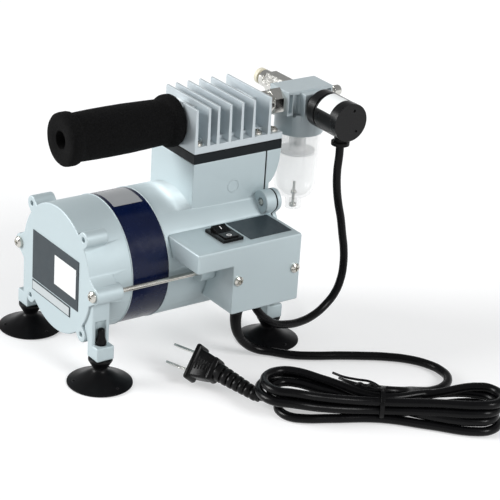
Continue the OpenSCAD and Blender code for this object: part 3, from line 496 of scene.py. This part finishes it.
def mains_route():
    """From the gland down to the floor, round to the hank, through its turns and to the plug"""
    flat = [(24.5, -67), (33.5, -77), (47.5, -86), (61.5, -93), (75.5, -101), (89.5, -110),
            (101.5, -121), (108.5, -133), (110.5, -144), (107.5, -155), (96.5, -163)]
    route = [(-2.5, -59, 39), (-2.5, -59, 30), (-0.5, -59, 21), (5.5, -59, 12), (14.5, -61, 5.5)]
    route += [(x, y, ON_FLOOR) for x, y in flat]
    route += [(84.5, -165, 4.5), (72.5, -166.5, 8), (62.5, -169, 12), (53.5, -172, 15.5)]
    for across, height, ends in STRANDS:
        route.append(in_hank(0, across, height))
        route += loop(*ends)
    route.append(in_hank(0, 0, LOW))
    route += [in_hank(-22, -0.5, 4.5), in_hank(-44, -3.5, 8), in_hank(-62, -3.2, 10.2),
              in_hank(-72, 0, 9.2), in_hank(-79.5, 4.4, 7.2)]
    return route


SENSOR_ROUTE = [
    (87, -44, 137.1), (87, -44, 129), (86, -44.5, 118), (86.5, -45, 106), (88.5, -45.5, 94),
    (91.5, -46, 82), (94, -46, 70), (96.5, -46, 58), (97, -46.5, 46), (95.5, -47, 36),
    (91, -47.5, 26), (82.9, -48, 18.2), (71.4, -50, 13.5), (57.5, -52.5, 12.4),
    (44.9, -54.6, 14.4), (33.9, -55.6, 17.8), (26, -55.6, 23.1), (20.5, -54.6, 28.5),
    (17.5, -53, 34), (17.5, -53, 39),
]
mains_lead = give(cord_curve("mains_lead", mains_route(), 3.0), JACKET,
                  covers=("mains_cord", "mains_hank"))
sensor_lead = give(cord_curve("sensor_lead", SENSOR_ROUTE, 2.9), JACKET,
                   covers=("sensor_cord",))


# ---- plug ----

TO_X = spun(90, "Y")
PLUG = moved(-43.5, -71.4, 14.1) @ spun(-70, "Z")
PLUG_BODY = PLUG @ spun(-40, "X")


def plug_block(name, start, size, steps, rim):
    """A rounded block of the plug, from a distance behind its face"""
    block = drawn(name, size, steps, PLUG_BODY @ moved(start, 0, 0) @ TO_X)
    round_edges(block, rim, 4, 30)
    return block


def make_plug():
    """Moulded plug: a face block, a waisted grip with ribs on both sides, and a rounded neck"""
    blocks = [
        plug_block("plug_face", 0, (25, 14), [(2.1, 1, 1), (2.1, 0.95, 0.95)], 1.8),
        plug_block("plug_grip", 2.4, (20.6, 11.2), [(9, 0.86, 1), (4.6, 0.9, 0.96)], 1.6),
        plug_block("plug_neck", 15.4, (16.6, 11.8), [(2.2, 0.98, 0.98), (2.4, 0.86, 0.92)], 1.4),
    ]
    ribs = []
    for side in (-1, 1):
        for step in range(5):
            rib = drawn(f"plug_rib_{side}_{step}", (0.9, 8.5 - step * 0.7), [(0.9, 0.7, 0.94)],
                        PLUG_BODY @ moved(5.6 + step * 2.1, side * 5.35, 0) @ spun(-90 * side, "X"))
            round_edges(rib, 0.2, 2)
            ribs.append(rib)
    body = joined("plug_shell", [*blocks, *ribs])
    soften(body)
    give(body, BLACK, covers=("plug_body",))


def make_plug_sleeve():
    """Strain relief behind the plug: rings that get smaller, parted by deep grooves"""
    slope, groove, pitch = 10.7, 3.7, 4.6
    rings = [(5.9, 0), (6.1, 1.2), (6.0, 4.6), (4.4, 5.0), (4.3, 6.2)]
    height, radius = 6.2, 5.9
    for _ in range(6):
        rings += [(radius - 0.25, height + 0.2), (radius, height + 0.8),
                  (radius - 0.1, height + 3.0), (radius - 0.5, height + 3.5),
                  (groove + 0.05, height + 3.7), (groove, height + pitch)]
        height += pitch
        radius -= 0.28
    rings += [(3.6, 35.2)]
    sleeve = turned("plug_sleeve", 40, rings, PLUG @ moved(19.6, 0, 0) @ spun(90 + slope, "Y"))
    soften(sleeve)
    give(sleeve, BLACK, covers=("plug_strain_relief",))


def make_tie():
    """Wire tie round the waist of the hank: a band, a twist and two loose ends"""
    height = 11.1       # of the band's middle
    rings = [(10.6, -1.4), (11.2, -1.4), (11.2, 1.4), (10.6, 1.4), (10.6, -1.4)]
    place = Matrix.Translation(Vector(in_hank(0, 0, height)) * MM) @ spun(HANK_TURN, "Z") @ TO_X
    band = turned("tie_band", 32, rings, place, closed=True)
    into_edit(band)
    bpy.ops.transform.resize(value=(1, 1, 0.985), center_override=tuple(mm(*HANK_CENTRE, height)))
    bpy.ops.object.mode_set(mode="OBJECT")
    parts = [band]
    ends = (
        ((0, -3, 21.6), (-3, -2, 24), (-9, 1, 25.6), (-17, 3, 25.4), (-26, 7, 24.6),
         (-33, 12, 24.4)),
        ((0, -3, 21.4), (-4, -4, 23.4), (-10, -3.5, 24.8), (-18, -2, 25.2), (-25, 1, 25.4),
         (-29, 4, 25)),
        ((-1, -2, 22.6), (-4, -5, 24.6), (-8, -3, 26), (-12, -5, 25.2), (-15, -3, 26),
         (-19, -4.4, 25.4)),
    )
    for count, end in enumerate(ends):
        wire = cord_curve(f"tie_end_{count}", [in_hank(*point) for point in end], 0.85)
        parts.append(as_mesh(wire))
    tie = joined("wire_tie", parts)
    soften(tie)
    give(tie, BLACK, covers=("hank_tie",))


make_plug()
make_plug_sleeve()
make_tie()


# ---- handle ----

def make_grip():
    """Foam grip: a rolled ring at each end, a long barrel with a slight waist, and a bore"""
    low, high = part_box("handle_grip")
    centre = (low + high) / 2
    rings = [
        (6.2, 1.0), (10, 0.25), (14.6, 0.0), (16.6, 0.5), (17.7, 1.7), (18.0, 3.5), (18.0, 7.4),
        (17.6, 8.9), (16.7, 9.8), (16.2, 10.8), (16.3, 14), (16.6, 24), (16.7, 36), (16.6, 50),
        (16.1, 64), (15.7, 74), (15.6, 77.6), (16.1, 78.6), (17.2, 79.6), (17.8, 81), (18.0, 83),
        (17.8, 85.6), (17.0, 87.0), (15.6, 87.6), (5.6, 87.6), (5.6, 9), (6.2, 1.0),
    ]
    place = Matrix.Translation((low.x, centre.y, centre.z)) @ TO_X
    grip = turned("foam_grip", 72, rings, place, closed=True)
    soften(grip, 50)
    give(grip, FOAM, covers=("handle_grip",))


make_grip()


# ---- feet ----

def make_feet():
    """Suction cups with a rolled rim, a waisted neck, a tail in the casting and small pips"""
    places = [(x, y) for x in FOOT_X for y in FOOT_Y]
    rings = [
        (2.0, 2.6), (9, 2.2), (16, 1.2), (20.6, 0.15), (21.6, 0.0), (22.0, 0.35), (21.9, 0.9),
        (20.9, 1.3), (19, 2.0), (15, 3.6), (11.5, 5.4), (8.4, 7.6), (6.0, 9.2), (5.0, 10.4),
        (5.0, 11.4), (7.6, 15.8), (8.2, 16.8), (8.2, 18.0), (7.8, 18.45), (3.0, 18.5), (3.0, 28.2),
        (3.5, 28.6), (3.8, 29.4), (3.6, 30.6), (2.9, 32.4), (2.5, 34), (2.4, 38.2), (2.0, 39.2),
        (1.2, 39.7), (0.2, 39.8),
    ]
    pip_reach, pip_height = 17.6, 2.4
    pip = [(1.0, -0.6), (0.95, 0.4), (0.6, 0.75), (0.1, 0.85)]
    for count, (x, y) in enumerate(places):
        pieces = [turned(f"suction_cup_{count + 1}", 56, rings, moved(x, y, 0))]
        for step in range(3):
            turn = math.radians(40 + 120 * step)
            place = moved(x + pip_reach * math.cos(turn), y + pip_reach * math.sin(turn),
                          pip_height)
            pieces.append(turned(f"pip_{count}_{step}", 12, pip, place))
        cup = joined(f"suction_cup_{count + 1}", pieces)
        soften(cup)
        give(cup, RUBBER, covers=("suction_feet",))


make_feet()


# ---- rounded castings ----

def round_casting(node, width, paint):
    """A cast piece whose outer edges are rounded, as a mould leaves them"""
    piece = bpy.data.objects.new(f"{node}_shell", nodes[node].data.copy())
    bpy.context.scene.collection.objects.link(piece)
    into_edit(piece)
    bpy.ops.mesh.remove_doubles(threshold=1e-5)
    bpy.ops.mesh.dissolve_limited(angle_limit=math.radians(1))
    bpy.ops.mesh.select_mode(type="EDGE")
    bpy.ops.mesh.select_all(action="DESELECT")
    shape = bmesh.from_edit_mesh(piece.data)
    for edge in shape.edges:
        edge.select_set(edge.calc_face_angle_signed(0) > math.radians(SHARP))
    bmesh.update_edit_mesh(piece.data)
    bpy.ops.mesh.bevel(offset=width * MM, offset_type="OFFSET", segments=2, affect="EDGES",
                       clamp_overlap=False)
    bpy.ops.mesh.select_mode(type="VERT")
    bpy.ops.object.mode_set(mode="OBJECT")
    soften(piece)
    even = piece.modifiers.new("even", "WEIGHTED_NORMAL")
    even.keep_sharp = True
    bpy.ops.object.modifier_apply(modifier=even.name)
    give(piece, paint, covers=(node,))


for node, width, paint, slot in (
        ("switch_box", 1.3, BOX_PAINT, "painted_casting"),
        ("end_bell", 0.8, CAST, "painted_casting"),
        ("crankcase", 0.7, CAST, "painted_casting"),
        ("front_cover", 0.8, CAST, "painted_casting"),
        ("cylinder_head", 0.3, FIN_METAL, "cast_aluminium"),
        ("valve_plate", 0.3, DARK_PLATE, "black_plate"),
        ("filter_head", 0.5, FILTER, "filter_paint")):
    round_casting(node, width, paint)


def make_band_rims():
    """The turned lip of each casting, where it meets the film"""
    rings = [(44.1, -0.4), (44.85, -0.3), (44.85, 0.3), (44.1, 0.4), (44.1, -0.4)]
    for name, x in (("bell_lip", BELL_RIM), ("case_lip", CASE_RIM)):
        lip = turned(name, 128, rings, moved(x, *BARREL_AXIS) @ TO_X, closed=True)
        soften(lip)
        give(lip, CAST)


def make_ejector_mark():
    """The round mark that a mould's pin leaves on the cylinder block"""
    rings = [(4.1, -0.1), (4.55, -0.1), (4.5, 0.14), (4.2, 0.14), (4.1, -0.1)]
    ring = turned("ejector_mark", 40, rings, moved(14.8, -22.3, 111.6) @ spun(90, "X"),
                  closed=True)
    soften(ring)
    give(ring, CAST)


make_band_rims()
make_ejector_mark()


# ---- gland sleeves ----

def make_sleeve(name, place, rings):
    """A short rubber sleeve round a lead, below its gland or grommet"""
    sleeve = turned(name, 32, rings, moved(*place))
    soften(sleeve)
    give(sleeve, RUBBER)


def make_bent_sleeve():
    """The mains lead's tapered strain relief, which bends with the lead"""
    rings = (   # radius, then the place on the lead
        (4.9, (-2.5, -59, 39.5)), (4.8, (-2.5, -59, 37.6)), (4.3, (-2.5, -59, 36.8)),
        (3.9, (-2.5, -59, 30)), (3.35, (-0.5, -59, 21)), (3.1, (1.9, -59, 16.8)),
    )
    sleeve = cord_curve("mains_sleeve", [point for _, point in rings], 1)
    for knot, (radius, _) in zip(sleeve.data.splines[0].bezier_points, rings):
        knot.radius = radius
    sleeve = as_mesh(sleeve)
    soften(sleeve)
    give(sleeve, RUBBER)


make_bent_sleeve()
make_sleeve("sensor_sleeve", (17.5, -53, 39),
            [(4.9, 0.4), (4.6, -2.2), (4.0, -2.6), (3.4, -5.4), (3.0, -5.6)])
make_sleeve("grommet_sleeve", (87, -44, 137.1),
            [(4.4, 0.4), (4.1, -0.7), (3.3, -1.3), (3.0, -1.4)])


# ---- plates, films and marks ----

def make_plates():
    """The bare sticker on the end face and the pale strip under it"""
    sticker = thin_plate("plate_sticker", (-107.25, -23.4, 53.8), (PLATE_FACE, 4.6, 74.8), 0.12)
    give(sticker, LABEL)
    strip = thin_plate("plate_strip", (-107.1, -15.2, 38.3), (PLATE_FACE, 33.7, 44.2), 0.1)
    give(strip, GREY_LABEL)


def make_rocker_marks():
    """A bar and a ring on the two ends of the rocker"""
    press, slope = 7, 10.3      # of the rocker at rest, and of each end against its middle
    rocker = moved(-10.1, -50.5, 91.6) @ spun(press, "X")

    def on_end(side):
        """The face of one end of the rocker"""
        return rocker @ moved(0, side * 5.2, 2.76) @ spun(side * slope, "X")

    bar = thin_plate("rocker_bar", (-0.35, -1.5, -0.1), (0.35, 1.5, 0.12), 0.05)
    settle(bar, on_end(1))
    give(bar, MARK, "rocker")
    rings = [(1.2, -0.1), (1.8, -0.1), (1.8, 0.12), (1.2, 0.12), (1.2, -0.1)]
    ring = turned("rocker_ring", 32, rings, on_end(-1), closed=True)
    give(ring, MARK, "rocker")


make_plates()
make_rocker_marks()


# ---- stage ----

def seen_ray(tree):
    """1 for what the eye, a gloss or a clear piece sees, 0 for light on its way"""
    path = tree.nodes.new("ShaderNodeLightPath")
    eye, gloss, clear_piece = (path.outputs[f"Is {kind} Ray"]
                               for kind in ("Camera", "Glossy", "Transmission"))
    return maths(tree, "MAXIMUM", maths(tree, "MAXIMUM", eye, gloss), clear_piece)


def diffuse(tree, colour):
    """A plain matt shader"""
    node = tree.nodes.new("ShaderNodeBsdfDiffuse")
    node.inputs["Color"].default_value = (*colour, 1)
    return node.outputs[0]


def make_stage():
    """A pale floor, white to the eye and in reflections, that keeps the shadow"""
    clear()
    bpy.ops.mesh.primitive_plane_add(size=40, location=(0, 0, -0.0003))
    floor = bpy.context.object
    floor.name = "floor"
    settle(floor)
    made = bpy.data.materials.new("floor_white")
    made.use_nodes = True
    tree = made.node_tree
    tree.nodes.remove(tree.nodes["Principled BSDF"])
    lift = tree.nodes.new("ShaderNodeEmission")
    lift.inputs["Strength"].default_value = 0.42
    both = tree.nodes.new("ShaderNodeAddShader")
    link(tree, diffuse(tree, (0.62, 0.622, 0.625)), both.inputs[0])
    link(tree, lift.outputs[0], both.inputs[1])
    pick = tree.nodes.new("ShaderNodeMixShader")
    link(tree, seen_ray(tree), pick.inputs["Fac"])
    link(tree, diffuse(tree, (0.5, 0.5, 0.5)), pick.inputs[1])
    link(tree, both.outputs[0], pick.inputs[2])
    link(tree, pick.outputs[0], tree.nodes["Material Output"].inputs["Surface"])
    floor.data.materials.append(made)


def sun(name, place, power, angle):
    """A sun that shines from a place, in metres, to the middle of the part"""
    data = bpy.data.lights.new(name, "SUN")
    data.energy = power
    data.angle = math.radians(angle)
    light = bpy.data.objects.new(name, data)
    bpy.context.scene.collection.objects.link(light)
    light.location = place
    aim = Vector((0, 0, 0.07)) - Vector(place)
    light.rotation_euler = aim.to_track_quat("-Z", "Y").to_euler()


def make_light():
    """A room that is white near the horizon and dimmer above it, and two soft suns"""
    world = bpy.data.worlds.new("studio")
    bpy.context.scene.world = world
    world.use_nodes = True
    tree = world.node_tree
    room = tree.nodes["Background"]
    room.inputs["Color"].default_value = (0.98, 0.99, 1, 1)
    where = tree.nodes.new("ShaderNodeTexCoord")
    split = tree.nodes.new("ShaderNodeSeparateXYZ")
    link(tree, where.outputs["Generated"], split.inputs[0])
    bright, dim = 1.0, 0.34
    strength = ranged(tree, split.outputs["Z"], bright, dim, start=0.13, end=0.3)
    link(tree, strength, room.inputs["Strength"])
    sun("left", (-1.35, 0.85, 0.72), power=3.1, angle=30)
    sun("front", (0.3, -1.3, 0.95), power=1.8, angle=24)


make_stage()
make_light()
bpy.context.scene.view_settings.view_transform = "Standard"
